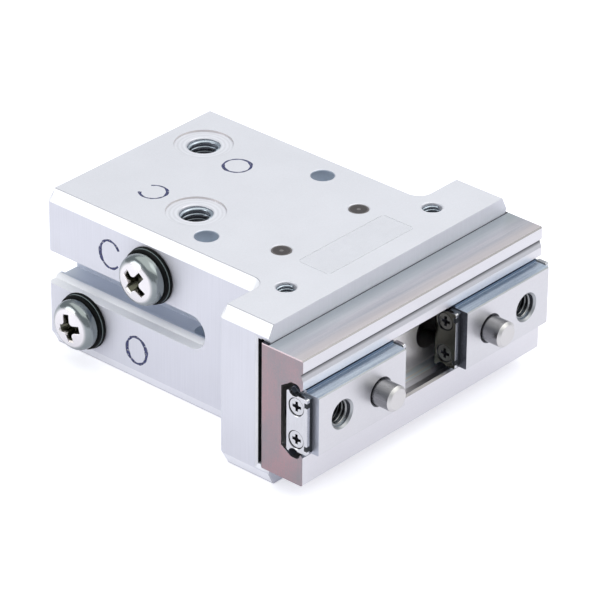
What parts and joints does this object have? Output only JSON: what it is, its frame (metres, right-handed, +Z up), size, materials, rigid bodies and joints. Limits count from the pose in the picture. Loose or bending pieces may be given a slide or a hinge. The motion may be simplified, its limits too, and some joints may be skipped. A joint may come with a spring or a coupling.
{
  "type": "parallel gripper",
  "caption": "Slim air-driven parallel gripper: a cylinder in a T-shaped body swings bell-crank levers that slide opposed finger blocks along a ball guide.",
  "frame": {"origin": "on the bottom mounting face, midway between the two mounting holes", "axes": "+X along the guide, to the right seen from the fingers' side; +Y back from the fingers to the cylinder's end cap; +Z up to the face with the air ports"},
  "size_m": [0.0532, 0.0635, 0.026],
  "materials": {
    "anodised_body": "satin anodised",
    "ground_steel": "ground",
    "finger_steel": "fine ground",
    "end_plate_steel": "pressed, bright",
    "wiper_rubber": "moulded",
    "small_screw": "plain",
    "dowel_steel": "ground",
    "plated_screw": "bright plated",
    "gasket_rubber": "moulded",
    "pivot_steel": "dark hardened",
    "black_steel": "black oxide",
    "spring_steel": "phosphated",
    "lever_steel": "hardened",
    "ball_steel": "polished",
    "piston_alloy": "turned",
    "magnet": "bonded magnet",
    "bush_brass": "turned",
    "seal_rubber": "moulded"
  },
  "bodies": {
    "housing": {"body_block": "anodised_body", "end_cap": "anodised_body", "end_cap_seal": "seal_rubber", "retaining_ring": "spring_steel", "rod_bush": "bush_brass", "rod_seal": "seal_rubber", "rod_bush_seal": "seal_rubber", "left_pivot_pin": "pivot_steel", "right_pivot_pin": "pivot_steel", "guide_rail": "ground_steel", "guide_screws": "black_steel", "close_port_plug": "plated_screw", "open_port_plug": "plated_screw", "close_port_gasket": "gasket_rubber", "open_port_gasket": "gasket_rubber"},
    "left_finger": {"left_finger_block": "finger_steel", "left_finger_pin": "dowel_steel", "left_plate_screws": "small_screw", "left_inner_end_seal": "wiper_rubber", "left_outer_end_seal": "wiper_rubber", "left_inner_end_plate": "end_plate_steel", "left_outer_end_plate": "end_plate_steel"},
    "right_finger": {"right_finger_block": "finger_steel", "right_finger_pin": "dowel_steel", "right_plate_screws": "small_screw", "right_inner_end_seal": "wiper_rubber", "right_outer_end_seal": "wiper_rubber", "right_inner_end_plate": "end_plate_steel", "right_outer_end_plate": "end_plate_steel"},
    "left_balls": {"left_ball_rows": "ball_steel"},
    "right_balls": {"right_ball_rows": "ball_steel"},
    "left_lever": {"left_lever": "lever_steel"},
    "right_lever": {"right_lever": "lever_steel"},
    "piston": {"piston": "piston_alloy", "piston_seal": "seal_rubber", "piston_magnet": "magnet", "piston_nut": "spring_steel", "piston_rod": "dowel_steel", "rod_clevis": "lever_steel", "clevis_pin": "dowel_steel"}
  },
  "joints": [
    {"name": "left_finger_slide", "type": "slide", "parent": "housing", "child": "left_finger", "axis": [1, 0, 0], "range_m": [0, 0.004]},
    {"name": "right_finger_slide", "type": "slide", "parent": "housing", "child": "right_finger", "axis": [-1, 0, 0], "range_m": [0, 0.004]},
    {"name": "left_balls_roll", "type": "slide", "parent": "housing", "child": "left_balls", "axis": [1, 0, 0], "range_m": [0, 0.002]},
    {"name": "right_balls_roll", "type": "slide", "parent": "housing", "child": "right_balls", "axis": [-1, 0, 0], "range_m": [0, 0.002]},
    {"name": "left_lever_swing", "type": "hinge", "parent": "housing", "child": "left_lever", "pos_m": [-0.0084, -0.0107, 0.013], "axis": [0, 0, 1], "range_deg": [0, 12.76]},
    {"name": "right_lever_swing", "type": "hinge", "parent": "housing", "child": "right_lever", "pos_m": [0.0084, -0.0107, 0.013], "axis": [0, 0, -1], "range_deg": [0, 12.76]},
    {"name": "piston_slide", "type": "slide", "parent": "housing", "child": "piston", "axis": [0, 1, 0], "range_m": [0, 0.00188]}
  ],
  "couplings": [
    {"joint": "right_finger_slide", "follows": "left_finger_slide", "ratio": 1},
    {"joint": "left_balls_roll", "follows": "left_finger_slide", "ratio": 0.5},
    {"joint": "right_balls_roll", "follows": "left_finger_slide", "ratio": 0.5},
    {"joint": "left_lever_swing", "follows": "left_finger_slide", "rad_per_m": 55.671},
    {"joint": "right_lever_swing", "follows": "left_finger_slide", "rad_per_m": 55.671},
    {"joint": "piston_slide", "follows": "left_finger_slide", "ratio": 0.46957}
  ]
}
